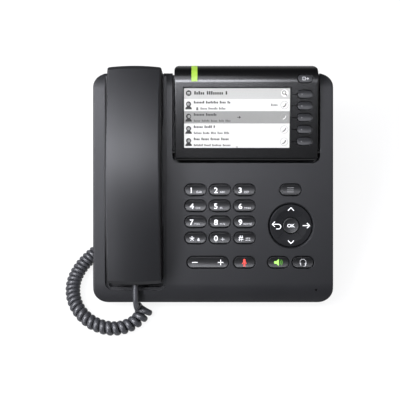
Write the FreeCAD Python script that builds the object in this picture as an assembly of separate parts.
import FreeCAD, Part

import math
import os

# Desk IP phone, millimetres.
# The phone is drawn flat, in the frame of its face: x to the right, y up the face towards the rear,
# z out of the face. stand_up() then tilts it back on its stand and sets it on the desk, z = 0.
# The display module has a second frame of its own, with its hinge pin at the origin.

V = FreeCAD.Vector

# ---- driving dimensions -------------------------------------------------------------------------
INCLINE = 25.0                 # face to desk, degrees
LIFT = 67.3                    # height of the face's centre over the desk
SETBACK = -10.47               # brings the middle of the footprint to the origin

BODY_X = 108.0                 # half width
BODY_Y = 103.7                 # half length up the face
BODY_CORNER = 13.0
FRONT_ROLL = (-86.0, 31.0)     # where the face starts to roll down, and the roll's radius
REAR_ROLL = (89.0, 24.0)
EDGE_ROUND = 1.5
PARTING = -12.0                # top cover meets bottom cover
WALL = 2.2
FRONT_BOTTOM = -24.0
REAR_BOTTOM = -44.0
BOTTOM_RAMP = (-20.0, 30.0)    # the underside drops from front to rear depth between these

CRADLE = (-97.2, -42.0, -92.2)             # left, right, front of the handset recess
CRADLE_CORNER = 7.5
CRADLE_FLOOR = -3.0
POCKET_FLOOR = -7.4
WELL = (-36.6, 96.3, 22.2)                 # left, right, front of the display well
WELL_CORNER = 7.0
WELL_FLOOR = -13.0

KEY_COLUMNS = (-15.7, 6.1, 28.1)
KEY_ROWS = (-2.0, -16.3, -30.7, -45.1)
KEY_HOLE = (20.0, 11.0)
KEY_NAMES = (
    ("key_1", "key_2", "key_3"),
    ("key_4", "key_5", "key_6"),
    ("key_7", "key_8", "key_9"),
    ("key_star", "key_0", "key_hash"),
)
FUNCTION_ROW = -67.0
FUNCTION_KEYS = {
    "menu_key": (69.4, -1.9),
    "mute_key": (28.0, FUNCTION_ROW),
    "speaker_key": (58.5, FUNCTION_ROW),
    "headset_key": (80.6, FUNCTION_ROW),
}
VOLUME = (-4.8, FUNCTION_ROW, 37.8, 11.1)
NAV = (69.9, -34.0)
NAV_R = 19.15
NAV_HOLE_R = 19.8
NAV_TOP = -0.3
NAV_DISH = (120.0, -1.2)       # radius of the dish and its lowest point
NAV_GROOVE = (0.4, 0.25)       # width and depth of the lines between its four ways
OK_R = 7.2
OK_TOP = 0.5
OK_DISH = (42.0, 0.0)
KEY_GAP = 0.8                  # hole edge to cap, each side
KEY_TOP = 0.9                  # cap over the face
KEY_FOOT = -4.4
MAT = (-7.2, -5.75)            # rubber mat under the keys
KEY_BOARD = (-8.8, -7.2)
MAIN_BOARD = (-26.0, -24.4)

HINGE = (32.0, -3.5)           # display hinge pin, up the face and over it
DISPLAY_TILT = 5.5
MODULE_X = (-34.6, 93.3)
MODULE_FRONT = -7.5
MODULE_FACE = 6.0
MODULE_BACK = -8.0
MODULE_ROLL = (62.0, 16.0)     # where the module's face rolls down to its rear, and the roll's radius
MODULE_REAR = MODULE_ROLL[0] + MODULE_ROLL[1]
MODULE_EDGE = 3.0              # radius of its front top edge
MODULE_SIDE_EDGE = 1.2         # radius of its left and right top edges
MODULE_CORNER = 5.0
SCREEN = (-26.3, 68.5, 3.9, 57.3)
SOFT_KEY_X = 81.3
SOFT_KEY_S = (51.6, 41.4, 31.0, 20.5, 10.0)
MODE_KEY_S = 65.3
SOFT_HOLE = (14.0, 7.9)
LIGHT_BAR = (-19.4, -14.1)
MODULE_WALL = 2.0
MODULE_SEAM = (60.0, 3.0)      # the bezel meets the rear cover along these two planes
LIGHT_BAR_START = 62.9
PIN_R = 2.0

HANDSET_X = -69.3
HANDSET_MID = 10.75
HANDSET_HALF = 95.95
HANDSET_HALF_WIDTH = 23.8
HANDSET_TOP = 35.0
HANDSET_R = 252.0              # bow of the handset's back
HANDSET_CROWN = 1.3
HANDSET_SPLIT = 242.0          # radius of the seam between the handset's shells
HANDSET_WALL = 2.2
HANDSET_CORNER = 2.4
HANDSET_EDGE = 2.2             # rounding of the back's long edges
END_BOW = 1.0                  # the ends bow outwards in the middle
BEVEL = (107.7, 2.5)           # the ends' 45 degree bevel: its reach where z = 0, and its bow

RECEIVER_Y = 83.0
MOUTH_Y = -61.0
CORD_Z = 5.0                   # where the cord leaves the handset's end

WIRE = 4.8                     # handset cord
COIL = 13.6                    # outside of the cord's coil

FOOT_Y = (-90.6, -79.0)        # front feet, in the desk frame
EAR_POCKET = (55.5, 125.0)     # front and rear of the recess for the earpiece end
MOUTH_POCKET = (-89.6, -34.0)
POCKET_GAP = 0.9               # beside the handset's ends
POCKET_CORNER = 3.0
HOLE_BEVEL = 0.45
MICROPHONE_HOLE = (92.7, -92.0)
LOUDSPEAKER = (HANDSET_X, 12.0)
HOOK = (HANDSET_X, 74.0)
SCREW_SEAT = -20.0
SCREW_R = 1.3
SCREW_PLACES = ((-102.2, -75), (-102.2, 25), (-102.2, 80), (99.5, -70), (102, 60), (20, -93))
STAND_TABS = ((-55, 58), (-55, 88), (55, 58), (55, 88))
STAND_TAB = (5.0, 1.2)          # half sizes
STAND_X = 75.0                 # half width
STAND_ARCH = 44.0              # half width of the opening between the legs
STAND_RIB = 44.4
STAND_WALL = 2.6
STAND_TOP = (46.0, 100.0)      # front and rear of the stand under the cover
STAND_FOOT = (44.9, 59.4)      # and just over the desk
STAND_FOOT_HEIGHT = 2.0
HANDSET_SOCKET = (-20.0, 22.0)
REAR_SOCKETS = {               # x, width, height, then the cavity's width, height and depth
    "lan_socket": (78.0, 16.0, 13.6, 11.8, 7.6, 13.0),
    "pc_socket": (56.0, 16.0, 13.6, 11.8, 7.6, 13.0),
    "headset_socket": (26.0, 11.2, 12.2, 7.9, 6.9, 12.0),
    "power_socket": (-60.0, 9.0, 11.0, 6.2, 6.2, 9.0),
}
SOCKET_DEPTH = 19.0
SOCKET_FACE = BODY_Y - 0.6


# Routes in the desk frame: from the handset's end down over the front edge, the coil along the desk
# and in under the left edge, and up to the socket in the underside.
TAIL_ROUTE = (
    (-69.3, -90.0, 35.8),
    (-69.3, -101.0, 31.2),
    (-69.2, -107.0, 23.4),
    (-68.5, -108.4, 14.0),
    (-64.9, -106.4, 8.4),
)
COIL_ROUTE = (
    (-63.0, -104.9, 7.0),
    (-68.5, -113.9, 7.0),
    (-80.0, -120.2, 7.0),
    (-94.0, -122.0, 7.0),
    (-108.0, -118.7, 7.0),
    (-120.0, -109.7, 7.0),
    (-127.6, -96.4, 7.0),
    (-129.3, -81.4, 7.0),
    (-124.0, -66.7, 7.0),
    (-113.8, -52.9, 7.0),
    (-101.0, -41.9, 7.0),
    (-86.0, -35.4, 7.0),
    (-70.0, -35.9, 7.0),
    (-54.0, -40.4, 7.0),
    (-38.0, -39.9, 7.0),
    (-25.0, -30.9, 7.0),
    (-19.5, -16.4, 7.0),
)
BASE_TAIL_ROUTE = (
    (-19.5, -16.4, 7.0),
    (-18.5, -7.4, 9.6),
    (-19.8, -3.0, 20.0),
    (-20.0, 1.2, 31.0),
    (-20.0, 12.5, 37.6),
)


# ---- building blocks ----------------------------------------------------------------------------
def box(x0, x1, y0, y1, z0, z1):
    return Part.makeBox(x1 - x0, y1 - y0, z1 - z0, V(x0, y0, z0))


def disc(x, y, radius, z0, z1):
    return Part.makeCylinder(radius, z1 - z0, V(x, y, z0))


def cone(x, y, r0, r1, z0, z1):
    return Part.makeCone(r0, r1, z1 - z0, V(x, y, z0))


def rod_x(y, z, radius, x0, x1):
    return Part.makeCylinder(radius, x1 - x0, V(x0, y, z), V(1, 0, 0))


def rod_y(x, z, radius, y0, y1):
    return Part.makeCylinder(radius, y1 - y0, V(x, y0, z), V(0, 1, 0))


def line(a, b):
    return Part.LineSegment(a, b).toShape()


def arc(a, middle, b):
    return Part.Arc(a, middle, b).toShape()


def corner_arc(cx, cy, radius, start, z):
    """A quarter circle about (cx, cy) from the angle start, in degrees."""
    points = []
    for step in (0, 45, 90):
        a = math.radians(start + step)
        points.append(V(cx + radius * math.cos(a), cy + radius * math.sin(a), z))
    return arc(*points)


def rounded_wire(x0, x1, y0, y1, radius, z):
    corners = (
        (x1 - radius, y0 + radius, -90),
        (x1 - radius, y1 - radius, 0),
        (x0 + radius, y1 - radius, 90),
        (x0 + radius, y0 + radius, 180),
    )
    arcs = [corner_arc(cx, cy, radius, start, z) for cx, cy, start in corners]
    edges = []
    for i, one in enumerate(arcs):
        edges.append(one)
        end = one.Vertexes[-1].Point
        following = arcs[(i + 1) % 4].Vertexes[0].Point
        if end.distanceToPoint(following) > 1e-6:
            edges.append(line(end, following))
    return Part.Wire(edges)


def plate(x0, x1, y0, y1, radius, z0, z1):
    wire = rounded_wire(x0, x1, y0, y1, radius, z0)
    return Part.Face(wire).extrude(V(0, 0, z1 - z0))


def slot_shape(x, y, width, height, z0, z1):
    """A solid with a stadium outline."""
    half = height / 2
    return plate(x - width / 2, x + width / 2, y - half, y + half, half, z0, z1)


def slot_bevel(x, y, width, height, grow, z0, z1):
    """A stadium that widens by grow all round, from z0 up to z1."""
    half = height / 2
    low = rounded_wire(x - width / 2, x + width / 2, y - half, y + half, half, z0)
    out = half + grow
    high = rounded_wire(x - width / 2 - grow, x + width / 2 + grow, y - out, y + out, out, z1)
    return Part.makeLoft([low, high], True, True)


def side_prism(edges, x0, x1):
    """Edges in the plane x = 0, closed, extruded from x0 to x1."""
    solid = Part.Face(Part.Wire(edges)).extrude(V(x1 - x0, 0, 0))
    solid.translate(V(x0, 0, 0))
    return solid


def side_polygon(points, x0, x1):
    places = [V(0, y, z) for y, z in points]
    places.append(places[0])
    return side_prism(Part.makePolygon(places).Edges, x0, x1)


def inset_side(edges, inset):
    """The closed outline moved inwards by inset."""
    if inset == 0:
        return edges
    face = Part.Face(Part.Wire(edges))
    return face.makeOffset2D(-inset, 2, False, False, True).OuterWire.Edges


def fuse(*solids):
    return solids[0].multiFuse(list(solids[1:])).removeSplitter()


def cut(solid, *tools):
    return solid.cut(list(tools))


def group(solids):
    return Part.makeCompound(solids)


# ---- placing ------------------------------------------------------------------------------------
def stand_up(shape):
    """From the face frame to the desk frame."""
    placed = shape.copy()
    placed.rotate(V(0, 0, 0), V(1, 0, 0), INCLINE)
    placed.translate(V(0, SETBACK, LIFT))
    return placed


def lie_down(shape):
    """From the desk frame to the face frame."""
    placed = shape.copy()
    placed.translate(V(0, -SETBACK, -LIFT))
    placed.rotate(V(0, 0, 0), V(1, 0, 0), -INCLINE)
    return placed


def on_hinge(shape):
    """From the display module's frame to the face frame."""
    placed = shape.copy()
    placed.rotate(V(0, 0, 0), V(1, 0, 0), DISPLAY_TILT)
    placed.translate(V(0, HINGE[0], HINGE[1]))
    return placed


# ---- housing ------------------------------------------------------------------------------------
def roll_drop(reach, radius):
    """How far a roll of this radius has fallen after reach."""
    return radius - math.sqrt(radius * radius - reach * reach)


def body_block(inset, low):
    """The body's outer form above low: flat face, rolled front and rear, round plan corners."""
    top = -inset
    front, rear = -BODY_Y + inset, BODY_Y - inset
    front_r, rear_r = FRONT_ROLL[1] - inset, REAR_ROLL[1] - inset
    front_reach, rear_reach = FRONT_ROLL[0] - front, rear - REAR_ROLL[0]
    front_end = V(0, front, top - roll_drop(front_reach, front_r))
    rear_end = V(0, rear, top - roll_drop(rear_reach, rear_r))
    half_f, half_r = front_reach / 2, rear_reach / 2
    front_mid = V(0, FRONT_ROLL[0] - half_f, top - roll_drop(half_f, front_r))
    rear_mid = V(0, REAR_ROLL[0] + half_r, top - roll_drop(half_r, rear_r))
    face_front, face_rear = V(0, FRONT_ROLL[0], top), V(0, REAR_ROLL[0], top)
    edges = [
        arc(front_end, front_mid, face_front),
        line(face_front, face_rear),
        arc(face_rear, rear_mid, rear_end),
        line(rear_end, V(0, rear, low)),
        line(V(0, rear, low), V(0, front, low)),
        line(V(0, front, low), front_end),
    ]
    half = BODY_X - inset
    plan = plate(-half, half, front, rear, BODY_CORNER - inset, low - 1, 5)
    return side_prism(edges, -half, half).common(plan)


def soften_top(block, radius):
    """Round the block's outer top edge."""
    rim = [edge for edge in block.Edges if edge.BoundBox.ZMin > PARTING + 5 and not inner_seam(edge)]
    return block.makeFillet(radius, rim)


def inner_seam(edge):
    """True for the lines across the face where its rolls begin."""
    bounds = edge.BoundBox
    return bounds.XLength > 2 * BODY_X - 40 and bounds.YLength < 0.01 and abs(bounds.ZMax) < 0.01


def bottom_outline(top):
    return [
        (-BODY_Y, top),
        (BODY_Y, top),
        (BODY_Y, REAR_BOTTOM),
        (BOTTOM_RAMP[1], REAR_BOTTOM),
        (BOTTOM_RAMP[0], FRONT_BOTTOM),
        (-BODY_Y, FRONT_BOTTOM),
    ]


def bottom_block(inset, top):
    places = [V(0, y, z) for y, z in bottom_outline(top)]
    places.append(places[0])
    edges = inset_side(Part.makePolygon(places).Edges, inset)
    half = BODY_X - inset
    reach = BODY_Y - inset
    plan = plate(-half, half, -reach, reach, BODY_CORNER - inset, REAR_BOTTOM - 1, top + 1)
    return side_prism(edges, -half, half).common(plan)


def cradle_form(grow):
    """The handset recess with its ear and mouth pockets, larger by grow all round."""
    left, right, front = CRADLE
    recess = plate(
        left - grow, right + grow, front - grow, BODY_Y + 20,
        CRADLE_CORNER + grow, CRADLE_FLOOR - grow, 6,
    )
    pockets = []
    for y0, y1 in EAR_POCKET, MOUTH_POCKET:
        half = HANDSET_HALF_WIDTH + POCKET_GAP + grow
        pockets.append(plate(
            HANDSET_X - half, HANDSET_X + half, y0 - grow, y1 + grow,
            POCKET_CORNER + grow, POCKET_FLOOR - grow, CRADLE_FLOOR + 1,
        ))
    return fuse(recess, *pockets)


def well_form(grow):
    left, right, front = WELL
    return plate(
        left - grow, right + grow, front - grow, BODY_Y + 20,
        WELL_CORNER + grow, WELL_FLOOR - grow, 6,
    )


def key_holes():
    tools = []
    places = [(x, y) for y in KEY_ROWS for x in KEY_COLUMNS] + list(FUNCTION_KEYS.values())
    for x, y in places:
        tools.append(slot_shape(x, y, *KEY_HOLE, -4, 1))
        tools.append(slot_bevel(x, y, *KEY_HOLE, HOLE_BEVEL, -HOLE_BEVEL, 0))
    tools.append(slot_shape(*VOLUME, -4, 1))
    tools.append(slot_bevel(*VOLUME, HOLE_BEVEL, -HOLE_BEVEL, 0))
    tools.append(disc(*NAV, NAV_HOLE_R, -4, 1))
    tools.append(cone(*NAV, NAV_HOLE_R, NAV_HOLE_R + 1.1, -1.1, 0))
    tools.append(disc(*MICROPHONE_HOLE, 1.0, -8, 2))
    return tools


def grille_slots():
    """The hands-free loudspeaker's slots in the cradle's floor."""
    slots = []
    for i in range(7):
        y = LOUDSPEAKER[1] + (i - 3) * 4.5
        slots.append(slot_shape(LOUDSPEAKER[0], y, 26 - 2.4 * abs(i - 3), 1.8, -7, 0))
    return slots


def base_top_cover():
    outer = soften_top(body_block(0, PARTING), EDGE_ROUND)
    hollow = body_block(WALL, PARTING - 1)
    tubs = fuse(cradle_form(WALL), well_form(WALL)).common(body_block(0, WELL_FLOOR - WALL - 3))
    bosses = []
    for x, y in SCREW_PLACES:
        boss = disc(x, y, 3.0, SCREW_SEAT + 2, -1.5)
        bosses.append(boss.common(body_block(1.0, REAR_BOTTOM)))
    shell = fuse(cut(outer, hollow), tubs, *bosses)
    shell = cut(shell, cradle_form(0), well_form(0), *key_holes(), *grille_slots())
    shell = cut(shell, hook_slot())
    pin_holes = [rod_x(*HINGE, PIN_R + 0.04, x - 3, x + 3) for x in WELL[:2]]
    pilots = [disc(x, y, SCREW_R, SCREW_SEAT + 1, -3.5) for x, y in SCREW_PLACES]
    return cut(shell, *pin_holes, *pilots)


def hook_slot():
    x, y = HOOK
    return box(x - 4.3, x + 4.3, y - 3.3, y + 3.3, -14, 0)


def base_bottom_cover():
    shell = cut(bottom_block(0, PARTING), bottom_block(WALL, PARTING + 5))
    towers = []
    bores = []
    for x, y in SCREW_PLACES:
        tower = disc(x, y, 4.2, REAR_BOTTOM, SCREW_SEAT + 1.8)
        towers.append(tower.common(bottom_block(0, PARTING)))
        bores.append(disc(x, y, SCREW_R + 0.2, SCREW_SEAT - 1, SCREW_SEAT + 3))
        bores.append(disc(x, y, 3.0, REAR_BOTTOM - 1, SCREW_SEAT))
    shell = fuse(shell, *towers)
    well = well_form(WALL).common(box(-200, 200, 0, 200, WELL_FLOOR - WALL, 0))
    shell = cut(shell, well, *bores)
    pocket = handset_pocket(WALL).common(bottom_block(0, PARTING))
    shell = cut(fuse(shell, pocket), handset_pocket(0), handset_socket_block(0))
    openings = [rear_socket_block(name, 0.15) for name in REAR_SOCKETS]
    tabs = []
    for x, y in STAND_TABS:
        half_x, half_y = STAND_TAB[0] + 0.2, STAND_TAB[1] + 0.2
        tabs.append(box(x - half_x, x + half_x, y - half_y, y + half_y, REAR_BOTTOM - 1, REAR_BOTTOM + 5))
    return cut(shell, *openings, *tabs)


def handset_pocket(grow):
    """The notch in the underside where the handset cord plugs in."""
    x, y = HANDSET_SOCKET
    return box(
        x - 9 - grow, x + 9 + grow, y - 26 - grow, y + grow,
        REAR_BOTTOM - 2, -27.0 + grow,
    )


def rear_socket_block(name, grow):
    x, width, height = REAR_SOCKETS[name][:3]
    top = MAIN_BOARD[0]
    return box(
        x - width / 2 - grow, x + width / 2 + grow, SOCKET_FACE - SOCKET_DEPTH, SOCKET_FACE + grow * 10,
        top - height - grow, top + grow,
    )


def rear_socket(name):
    x, width, height, hole_w, hole_h, depth = REAR_SOCKETS[name]
    middle = MAIN_BOARD[0] - height / 2
    cavity = box(
        x - hole_w / 2, x + hole_w / 2, SOCKET_FACE - depth, SOCKET_FACE + 1,
        middle - hole_h / 2, middle + hole_h / 2,
    )
    if name == "power_socket":
        cavity = rod_y(x, middle, hole_w / 2, SOCKET_FACE - depth, SOCKET_FACE + 1)
        cavity = cavity.cut(rod_y(x, middle, 1.0, SOCKET_FACE - depth, SOCKET_FACE - 2))
    block = rear_socket_block(name, 0)
    if name in ("lan_socket", "pc_socket"):
        latch = box(x - 3, x + 3, SOCKET_FACE - depth, SOCKET_FACE + 1, middle - hole_h / 2 - 2, middle)
        return cut(block, cavity, latch)
    return cut(block, cavity)


def handset_socket_block(grow):
    x, y = HANDSET_SOCKET
    return box(x - 5.6 - grow, x + 5.6 + grow, y - grow, y + 14, -39.6 - grow, -27.4 + grow)


def handset_socket():
    x, y = HANDSET_SOCKET
    return cut(handset_socket_block(0), box(x - 3.95, x + 3.95, y - 1, y + 12.2, -36.95, -30.05))


# ---- stand, feet, screws ------------------------------------------------------------------------
def desk_depth(y, height=0.0):
    """z in the face frame of the plane at this height over the desk."""
    a = math.radians(INCLINE)
    return (height - LIFT - y * math.sin(a)) / math.cos(a)


def foot_stand():
    """A hollow leg block across the rear, arched in the middle, with tabs into the bottom cover."""
    top = REAR_BOTTOM - 0.2
    high = STAND_FOOT_HEIGHT
    front, rear = STAND_FOOT
    outline = [
        (STAND_TOP[0], top),
        (STAND_TOP[1], top),
        (rear, desk_depth(rear, high)),
        (front, desk_depth(front, high)),
    ]
    inner = high + STAND_WALL
    hollow = [
        (30, top - STAND_WALL),
        (STAND_TOP[1] - 4.5, top - STAND_WALL),
        (rear - STAND_WALL, desk_depth(rear, inner)),
        (30, desk_depth(30, inner)),
    ]
    half = STAND_X - STAND_WALL
    shell = cut(
        side_polygon(outline, -STAND_X, STAND_X),
        side_polygon(hollow, -half, half),
        box(-STAND_ARCH, STAND_ARCH, 20, 120, -130, -66),
    )
    ribs = [side_polygon(outline, x, x + STAND_WALL) for x in (-STAND_RIB - STAND_WALL, STAND_RIB)]
    tabs = []
    for x, y in STAND_TABS:
        half_x, half_y = STAND_TAB
        tabs.append(box(x - half_x, x + half_x, y - half_y, y + half_y, top - 1, REAR_BOTTOM + 3.4))
    return fuse(shell, *ribs, *tabs)


def front_foot(x0, x1):
    block = lie_down(box(x0, x1, FOOT_Y[0], FOOT_Y[1], 0, 14))
    return cut(block, box(-200, 200, -200, 0, FRONT_BOTTOM, 40))


def rear_foot(x0, x1):
    """A pad as deep as the stand's foot, less its edge."""
    a = math.radians(INCLINE)
    ends = []
    for y in (STAND_FOOT[0] + 0.7, STAND_FOOT[1] - 0.8):
        ends.append(y * math.cos(a) - desk_depth(y, STAND_FOOT_HEIGHT) * math.sin(a) + SETBACK)
    return lie_down(plate(x0, x1, *ends, 3, 0, STAND_FOOT_HEIGHT))


def rubber_feet():
    return group([front_foot(-98, -72), front_foot(72, 98), rear_foot(-73, -49), rear_foot(49, 73)])


def screw(x, y):
    head = disc(x, y, 2.6, SCREW_SEAT - 1.9, SCREW_SEAT)
    recess = fuse(
        box(x - 1.7, x + 1.7, y - 0.35, y + 0.35, SCREW_SEAT - 2, SCREW_SEAT - 1),
        box(x - 0.35, x + 0.35, y - 1.7, y + 1.7, SCREW_SEAT - 2, SCREW_SEAT - 1),
    )
    return cut(fuse(head, disc(x, y, SCREW_R, SCREW_SEAT - 0.1, SCREW_SEAT + 12)), recess)


def housing_screws():
    return group([screw(x, y) for x, y in SCREW_PLACES])


# ---- inside the housing -------------------------------------------------------------------------
def main_board():
    board = plate(-84, 92, 26, 99, 2, *MAIN_BOARD)
    chips = [
        box(20, 36, 40, 56, MAIN_BOARD[1], MAIN_BOARD[1] + 1.6),
        box(48, 60, 44, 54, MAIN_BOARD[1], MAIN_BOARD[1] + 1.2),
        box(-14, -2, 62, 74, MAIN_BOARD[1], MAIN_BOARD[1] + 1.2),
    ]
    return fuse(board, *chips)


def key_board():
    return plate(-34, 92, -79, 17, 2, *KEY_BOARD)


def key_mat():
    mat = plate(-32, 90, -77, 15, 3, *MAT)
    return cut(mat, disc(*NAV, 14.5, MAT[0] - 1, MAT[1] + 1))


def loudspeaker():
    x, y = LOUDSPEAKER
    frame = disc(x, y, 20, -7.4, -5.3)
    basket = cone(x, y, 9, 18.5, -13, -7.4)
    magnet = disc(x, y, 11, -18.5, -13)
    return fuse(frame, basket, magnet)


def hands_free_microphone():
    x, y = MICROPHONE_HOLE
    return disc(x, y, 3.0, -8.6, -4.4)


def hook_plunger():
    x, y = HOOK
    stem = box(x - 4, x + 4, y - 3, y + 3, -16.5, -7.2)
    flange = box(x - 6, x + 6, y - 3, y + 3, -13.6, -12.3)
    return fuse(stem, flange)


def hook_switch():
    x, y = HOOK
    body = box(x - 6, x + 6, y - 4, y + 4, MAIN_BOARD[1], -18.6)
    return fuse(body, box(x - 1.5, x + 1.5, y - 1.5, y + 1.5, -18.6, -16.7))


# ---- keys ---------------------------------------------------------------------------------------
def dished_cap(x, y, width, height, foot, top, dish_r=16.0, dish=0.55):
    cap = slot_shape(x, y, width, height, foot, top)
    rim = [edge for edge in cap.Edges if edge.BoundBox.ZMin > top - 0.01]
    cap = cap.makeFillet(0.5, rim)
    return cut(cap, rod_x(y, top - dish + dish_r, dish_r, x - width, x + width))


def key(x, y):
    width, height = KEY_HOLE
    cap = dished_cap(x, y, width - 2 * KEY_GAP, height - 2 * KEY_GAP, KEY_FOOT, KEY_TOP)
    flange = slot_shape(x, y, width + 1.6, height + 1.6, KEY_FOOT, KEY_FOOT + 1)
    return fuse(cap, flange)


def volume_rocker():
    x, y, width, height = VOLUME
    cap = dished_cap(x, y, width - 2 * KEY_GAP, height - 2 * KEY_GAP, KEY_FOOT, KEY_TOP)
    flange = slot_shape(x, y, width + 1.6, height + 1.6, KEY_FOOT, KEY_FOOT + 0.9)
    return fuse(cap, flange)


def dish(x, y, radius, lowest):
    """The ball that hollows a shallow dish about (x, y)."""
    return Part.makeSphere(radius, V(x, y, lowest + radius))


def nav_pad():
    """Round four-way pad: a shallow dish with a ring below for the gimbal, open in the middle."""
    x, y = NAV
    radius, lowest = NAV_DISH
    pad = disc(x, y, NAV_R, -3.4, NAV_TOP)
    pad = pad.makeFillet(0.8, [edge for edge in pad.Edges if edge.BoundBox.ZMin > NAV_TOP - 0.01])
    pad = pad.cut(dish(x, y, radius, lowest))
    grooves = dish(x, y, radius, lowest - NAV_GROOVE[1]).common(nav_cross(NAV_GROOVE[0]))
    skirt = disc(x, y, 12, -4.5, -3.3)
    return cut(fuse(pad, skirt), grooves, disc(x, y, OK_R + 0.5, -6, 1))


def nav_cross(width):
    """Two thin upright plates that cross over the pad, at 45 degrees to its arrows."""
    x, y = NAV
    plates = []
    for turn in (45, -45):
        plate_box = box(-NAV_R, NAV_R, -width / 2, width / 2, -3, 1)
        plate_box.rotate(V(0, 0, 0), V(0, 0, 1), turn)
        plate_box.translate(V(x, y, 0))
        plates.append(plate_box)
    return fuse(*plates)


def nav_gimbal():
    x, y = NAV
    return cut(disc(x, y, 12.5, -6.4, -5.1), disc(x, y, 8.4, -7, -5))


def ok_key():
    x, y = NAV
    radius, lowest = OK_DISH
    cap = disc(x, y, OK_R, KEY_FOOT, OK_TOP)
    cap = cap.makeFillet(0.6, [edge for edge in cap.Edges if edge.BoundBox.ZMin > OK_TOP - 0.01])
    return fuse(cut(cap, dish(x, y, radius, lowest)), disc(x, y, 5.0, KEY_FOOT - 1.0, KEY_FOOT))


# ---- display module -----------------------------------------------------------------------------
def module_outline():
    """Side view: hinge barrel, rounded front edge, flat face, rolled rear edge and flat back."""
    barrel_r = -MODULE_BACK
    front_low = -math.sqrt(barrel_r ** 2 - MODULE_FRONT ** 2)
    barrel_middle = V(0, MODULE_FRONT, front_low) + V(0, 0, MODULE_BACK)
    barrel_middle = barrel_middle.normalize() * barrel_r
    face, front = MODULE_FACE, MODULE_FRONT
    k = MODULE_EDGE * (1 - math.sqrt(0.5))
    roll_y, roll_r = MODULE_ROLL
    roll_end = math.acos((MODULE_BACK - face + roll_r) / roll_r)
    roll_places = []
    for angle in (0, roll_end / 2, roll_end):
        roll_places.append(V(0, roll_y + roll_r * math.sin(angle), face - roll_r + roll_r * math.cos(angle)))
    return [
        arc(V(0, 0, MODULE_BACK), barrel_middle, V(0, front, front_low)),
        line(V(0, front, front_low), V(0, front, face - MODULE_EDGE)),
        arc(V(0, front, face - MODULE_EDGE), V(0, front + k, face - k), V(0, front + MODULE_EDGE, face)),
        line(V(0, front + MODULE_EDGE, face), roll_places[0]),
        arc(*roll_places),
        line(roll_places[-1], V(0, 0, MODULE_BACK)),
    ]


def module_block(inset):
    x0, x1 = MODULE_X[0] + inset, MODULE_X[1] - inset
    prism = side_prism(inset_side(module_outline(), inset), x0, x1)
    plan = plate(x0, x1, MODULE_FRONT + inset, MODULE_REAR - inset, MODULE_CORNER - inset, -20, 20)
    return prism.common(plan)


def module_section():
    """Front view, swept along the module: what rounds the left and right edges of its face."""
    left, right = MODULE_X
    face, r = MODULE_FACE, MODULE_SIDE_EDGE
    k = r * (1 - math.sqrt(0.5))
    low = MODULE_BACK - 2

    def at(x, z):
        return V(x, MODULE_FRONT - 2, z)

    edges = [
        line(at(left, low), at(left, face - r)),
        arc(at(left, face - r), at(left + k, face - k), at(left + r, face)),
        line(at(left + r, face), at(right - r, face)),
        arc(at(right - r, face), at(right - k, face - k), at(right, face - r)),
        line(at(right, face - r), at(right, low)),
        line(at(right, low), at(left, low)),
    ]
    return Part.Face(Part.Wire(edges)).extrude(V(0, MODULE_REAR - MODULE_FRONT + 4, 0))


def module_shell():
    return cut(module_block(0).common(module_section()), module_block(MODULE_WALL))


def soft_key_places():
    return [(SOFT_KEY_X, s) for s in SOFT_KEY_S] + [(SOFT_KEY_X, MODE_KEY_S)]


def light_bar_space():
    return box(*LIGHT_BAR, LIGHT_BAR_START, MODULE_REAR + 2, -5.5, MODULE_FACE + 2)


def display_bezel():
    seam_y, seam_z = MODULE_SEAM
    region = fuse(box(-100, 200, -20, seam_y, seam_z, 20), box(-100, 200, seam_y, 90, -20, 20))
    x0, x1, y0, y1 = SCREEN
    tools = [plate(x0, x1, y0, y1, 1.8, seam_z - 1, 10), light_bar_space()]
    for x, y in soft_key_places():
        tools.append(slot_shape(x, y, *SOFT_HOLE, 0.5, 9))
    return cut(module_shell().common(region), *tools)


def display_rear_cover():
    seam_y, seam_z = MODULE_SEAM
    cover = module_shell().common(box(-100, 200, -20, seam_y, -20, seam_z))
    pins = [rod_x(0, 0, PIN_R, x - 4, x + 4) for x in MODULE_X]
    vents = [slot_shape(29, y, 40, 3, MODULE_BACK - 1, MODULE_BACK + 4) for y in range(14, 50, 6)]
    return cut(cover, *pins, *vents)


def light_bar():
    return cut(module_block(-0.35), module_block(1.6)).common(light_bar_space())


def display_window():
    x0, x1, y0, y1 = SCREEN
    return plate(x0 + 0.1, x1 - 0.1, y0 + 0.1, y1 - 0.1, 1.7, MODULE_FACE - 2.1, MODULE_FACE - 0.6)


def lcd_panel():
    x0, x1, y0, y1 = SCREEN
    return box(x0 - 2.6, x1 + 3.0, y0 - 2.6, y1 + 2.6, 0.7, MODULE_FACE - 2.1)


def display_board():
    return plate(-30, 89, -3, 69, 2, -2.6, -1.0)


def soft_key_mat():
    return plate(74.2, 88.4, 4, 70, 2, -1.0, 0.1)


def hinge_pins():
    left, right = MODULE_X
    well_left, well_right = WELL[:2]
    return group([
        rod_x(0, 0, PIN_R, well_left - 2.0, left + 3.2),
        rod_x(0, 0, PIN_R, right - 3.2, well_right + 2.0),
    ])


def soft_key(y):
    x = SOFT_KEY_X
    width, height = SOFT_HOLE
    cap = dished_cap(x, y, width - 1.3, height - 1.3, 1.3, MODULE_FACE + 0.6, 12.0, 0.45)
    return fuse(cap, slot_shape(x, y, width + 1.0, height + 1.0, 1.3, 2.2))


def mode_key():
    """The key at the start of the roll: its top follows the module's surface."""
    x, y = SOFT_KEY_X, MODE_KEY_S
    width, height = SOFT_HOLE
    cap = slot_shape(x, y, width - 1.3, height - 1.3, 1.3, 12).common(module_block(-0.6))
    flange = slot_shape(x, y, width + 1.0, height - 1.3, 1.3, 2.0)
    return fuse(cap, flange)


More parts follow.
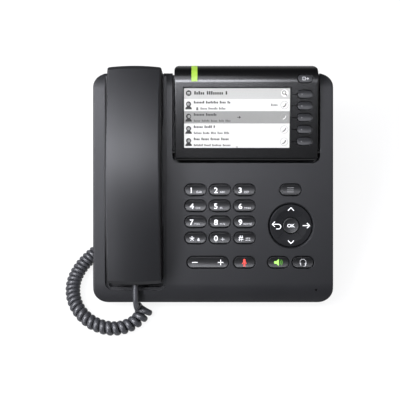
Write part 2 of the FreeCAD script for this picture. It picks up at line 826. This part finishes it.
# ---- handset ------------------------------------------------------------------------------------
def handset_outline(inset):
    """Side view: ear block, arched grip and mouth block, with no top: the bowed back cuts it."""
    end = HANDSET_HALF - inset
    edges = []
    for side in (-1, 1):

        def at(y, height, y_in=0.0, z_in=0.0):
            return V(0, HANDSET_MID + side * (y + y_in * inset), height + z_in * inset)

        edges.append(line(at(end, 60), at(end, 0, 0, 0.3)))
        edges.append(arc(at(end, 0, 0, 0.3), at(end - 1.6, -5.2, 0, 0.7), at(end - 6, -7, 0, 1)))
        edges.append(line(at(end - 6, -7, 0, 1), at(54, -7, 0.4, 1)))
        edges.append(arc(at(54, -7, 0.4, 1), at(48, -4.2, 0.7, 0.7), at(44, 2, 0.9, 0.3)))
        edges.append(arc(at(44, 2, 0.9, 0.3), at(34, 11.2, 0.4, 0.9), at(18, 14.6, 0, 1)))
        edges.append(line(at(18, 14.6, 0, 1), at(0, 14.6, 0, 1)))
        edges.append(line(at(0, 60), at(end, 60)))
    return Part.__sortEdges__(edges)


def handset_bevel(side, inset):
    """What lies inside the bowed bevel at one end: a bowed outline drawn up at 45 degrees."""
    reach, bow = BEVEL
    half = HANDSET_HALF_WIDTH + 1
    low, high = -10.0, 50.0
    end = HANDSET_MID + side * (reach - low - inset * math.sqrt(2))
    far = HANDSET_MID - side * 160
    corners = [V(HANDSET_X + x, y, low) for x, y in ((half, end), (half, far), (-half, far), (-half, end))]
    edges = [line(a, b) for a, b in zip(corners, corners[1:])]
    edges.append(arc(corners[3], V(HANDSET_X, end + side * bow, low), corners[0]))
    return Part.Face(Part.Wire(edges)).extrude(V(0, -side * (high - low), high - low))


def handset_ring(inset, inner_r):
    """The handset's bowed back: a crowned section turned about an axis below the phone."""
    axis_z = HANDSET_TOP - HANDSET_R
    top = HANDSET_TOP - inset
    half = HANDSET_HALF_WIDTH - inset
    round_r = max(HANDSET_EDGE - inset, 0.4)
    k = round_r * (1 - math.sqrt(0.5))
    shoulder = top - HANDSET_CROWN
    low = axis_z + inner_r

    def at(x, z):
        return V(x, HANDSET_MID, z)

    section = Part.Wire([
        line(at(-half, low), at(-half, shoulder - round_r)),
        arc(at(-half, shoulder - round_r), at(-half + k, shoulder - k), at(-half + round_r, shoulder)),
        arc(at(-half + round_r, shoulder), at(0, top), at(half - round_r, shoulder)),
        arc(at(half - round_r, shoulder), at(half - k, shoulder - k), at(half, shoulder - round_r)),
        line(at(half, shoulder - round_r), at(half, low)),
        line(at(half, low), at(-half, low)),
    ])
    face = Part.Face(section)
    centre = V(0, HANDSET_MID, axis_z)
    face.rotate(centre, V(1, 0, 0), -25)
    ring = face.revolve(centre, V(1, 0, 0), 50)
    ring.translate(V(HANDSET_X, 0, 0))
    return ring


def handset_plan(inset):
    """Outline seen from above: straight sides, slightly bowed ends, round corners."""
    half = HANDSET_HALF_WIDTH - inset
    reach = HANDSET_HALF - inset
    end = reach - END_BOW
    corner = max(HANDSET_CORNER - inset, 0.8)
    k = corner * (1 - math.sqrt(0.5))

    def at(x, y):
        return V(HANDSET_X + x, HANDSET_MID + y, -20)

    edges = []
    for sy in (1, -1):
        left = at(-half + corner, sy * end)
        right = at(half - corner, sy * end)
        edges.append(arc(at(-half, sy * (end - corner)), at(-half + k, sy * (end - k)), left))
        edges.append(arc(left, at(0, sy * reach), right))
        edges.append(arc(right, at(half - k, sy * (end - k)), at(half, sy * (end - corner))))
    for side in (-half, half):
        edges.append(line(at(side, corner - end), at(side, end - corner)))
    return Part.Face(Part.Wire(Part.__sortEdges__(edges))).extrude(V(0, 0, 80))


def handset_block(inset):
    half = HANDSET_HALF_WIDTH - inset
    side = side_prism(handset_outline(inset), HANDSET_X - half, HANDSET_X + half)
    block = handset_ring(inset, 185).common(side).common(handset_plan(inset))
    return block.common(handset_bevel(1, inset)).common(handset_bevel(-1, inset))


def handset_shell():
    return cut(handset_block(0), handset_block(HANDSET_WALL))


def handset_outer_shell():
    return cut(handset_shell().common(handset_ring(-3, HANDSET_SPLIT)), handset_port())


def handset_inner_shell():
    below = cut(handset_ring(-3, 180), handset_ring(-5, HANDSET_SPLIT - 0.25))
    shell = handset_shell().common(below)
    return cut(shell, *ear_holes(), *mouth_holes(), handset_port())


def ear_holes():
    x, y = HANDSET_X, RECEIVER_Y
    holes = [disc(x, y, 1.1, -9, -3)]
    for ring_r, count in ((4.0, 6), (7.6, 12)):
        for i in range(count):
            a = 2 * math.pi * i / count
            holes.append(disc(x + ring_r * math.cos(a), y + ring_r * math.sin(a), 0.9, -9, -3))
    return holes


def mouth_holes():
    return [disc(HANDSET_X + dx, MOUTH_Y, 0.8, -9, -3) for dx in (-3.2, 0, 3.2)]


def handset_port():
    """The opening in the mouth end where the cord plugs in."""
    y = HANDSET_MID - HANDSET_HALF
    return box(HANDSET_X - 4.4, HANDSET_X + 4.4, y - 1, y + 5, CORD_Z - 4.2, CORD_Z + 4.2)


def handset_jack():
    y = HANDSET_MID - HANDSET_HALF + HANDSET_WALL + 0.4
    block = box(HANDSET_X - 6.2, HANDSET_X + 6.2, y, y + 14, -1.5, 11.5)
    return cut(block, box(HANDSET_X - 4.2, HANDSET_X + 4.2, y - 1, y + 11.5, CORD_Z - 3.6, CORD_Z + 3.6))


def earpiece():
    frame = disc(HANDSET_X, RECEIVER_Y, 15, -4.6, -1.5)
    return fuse(frame, disc(HANDSET_X, RECEIVER_Y, 9, -1.5, 4))


def handset_microphone():
    return disc(HANDSET_X, MOUTH_Y, 5, -4.6, 0)


def handset_weight():
    return plate(HANDSET_X - 9, HANDSET_X + 9, HANDSET_MID - 30, HANDSET_MID + 34, 3, 19, 25)


# ---- cord ---------------------------------------------------------------------------------------
def handset_plug():
    """In the handset's jack, its cord end level with the handset's end."""
    y = HANDSET_MID - HANDSET_HALF
    return box(HANDSET_X - 3.9, HANDSET_X + 3.9, y + 1.2, y + 13.6, CORD_Z - 3.3, CORD_Z + 3.3)


def base_plug():
    x, y = HANDSET_SOCKET
    body = box(x - 3.8, x + 3.8, y - 2.4, y + 11.6, -36.8, -30.2)
    return fuse(body, rod_y(x, -33.5, WIRE / 2 + 0.9, y - 9, y - 2.3))


def route(points):
    """Straight runs joined by tangent arcs, each as large as its two runs allow."""
    places = [V(*p) for p in points]
    edges = []
    start = places[0]
    radii = []
    for before, corner, after in zip(places, places[1:], places[2:]):
        into, out = corner - before, after - corner
        turn = into.getAngle(out)
        trim = 0.45 * min(into.Length, out.Length)
        radii.append(round(trim / math.tan(turn / 2), 1))
        a = corner - into.normalize() * trim
        b = corner + out.normalize() * trim
        bend = (a + b) * 0.5 - corner
        radius = trim / math.tan(turn / 2)
        centre = corner + bend.normalize() * (radius / math.cos(turn / 2))
        middle = centre + (corner - centre).normalize() * radius
        edges.append(line(start, a))
        edges.append(arc(a, middle, b))
        start = b
    edges.append(line(start, places[-1]))
    return Part.Wire(edges), radii


def tube(name, points, diameter):
    path, radii = route(points)
    first = V(*points[1]) - V(*points[0])
    ring = Part.Wire([Part.makeCircle(diameter / 2, V(*points[0]), first)])
    solid = path.makePipeShell([ring], True, False)
    expected = math.pi * diameter ** 2 / 4 * path.Length
    ratio = solid.Volume / expected
    print(name, "length", round(path.Length, 1), "radii", radii, "volume ratio", round(ratio, 4))
    return solid


# ---- all nodes ----------------------------------------------------------------------------------
def face_nodes():
    nodes = {
        "base_top_cover": base_top_cover(),
        "base_bottom_cover": base_bottom_cover(),
        "foot_stand": foot_stand(),
        "rubber_feet": rubber_feet(),
        "housing_screws": housing_screws(),
        "main_board": main_board(),
        "key_board": key_board(),
        "key_mat": key_mat(),
        "loudspeaker": loudspeaker(),
        "hands_free_microphone": hands_free_microphone(),
        "hook_plunger": hook_plunger(),
        "hook_switch": hook_switch(),
        "volume_rocker": volume_rocker(),
        "nav_pad": nav_pad(),
        "nav_gimbal": nav_gimbal(),
        "ok_key": ok_key(),
        "handset_outer_shell": handset_outer_shell(),
        "handset_inner_shell": handset_inner_shell(),
        "handset_jack": handset_jack(),
        "earpiece": earpiece(),
        "handset_microphone": handset_microphone(),
        "handset_weight": handset_weight(),
        "handset_plug": handset_plug(),
        "base_plug": base_plug(),
    }
    nodes["network_sockets"] = group([rear_socket("lan_socket"), rear_socket("pc_socket")])
    nodes["audio_sockets"] = group([rear_socket("headset_socket"), handset_socket()])
    nodes["power_socket"] = rear_socket("power_socket")
    for names, y in zip(KEY_NAMES, KEY_ROWS):
        for name, x in zip(names, KEY_COLUMNS):
            nodes[name] = key(x, y)
    for name, (x, y) in FUNCTION_KEYS.items():
        nodes[name] = key(x, y)
    return nodes


def module_nodes():
    nodes = {
        "display_bezel": display_bezel(),
        "display_rear_cover": display_rear_cover(),
        "display_window": display_window(),
        "lcd_panel": lcd_panel(),
        "display_board": display_board(),
        "soft_key_mat": soft_key_mat(),
        "light_bar": light_bar(),
        "hinge_pins": hinge_pins(),
        "mode_key": mode_key(),
    }
    for i, y in enumerate(SOFT_KEY_S):
        nodes[f"soft_key_{i + 1}"] = soft_key(y)
    return nodes


def all_nodes():
    nodes = {name: stand_up(shape) for name, shape in face_nodes().items()}
    for name, shape in module_nodes().items():
        nodes[name] = stand_up(on_hinge(shape))
    nodes["cord_tail"] = tube("cord_tail", TAIL_ROUTE, WIRE)
    nodes["cord_coil"] = tube("cord_coil", COIL_ROUTE, COIL)
    nodes["cord_base_tail"] = tube("cord_base_tail", BASE_TAIL_ROUTE, WIRE)
    return nodes


def main():
    os.makedirs("parts", exist_ok=True)
    for name, shape in all_nodes().items():
        shape.exportStep(f"parts/{name}.step")


main()
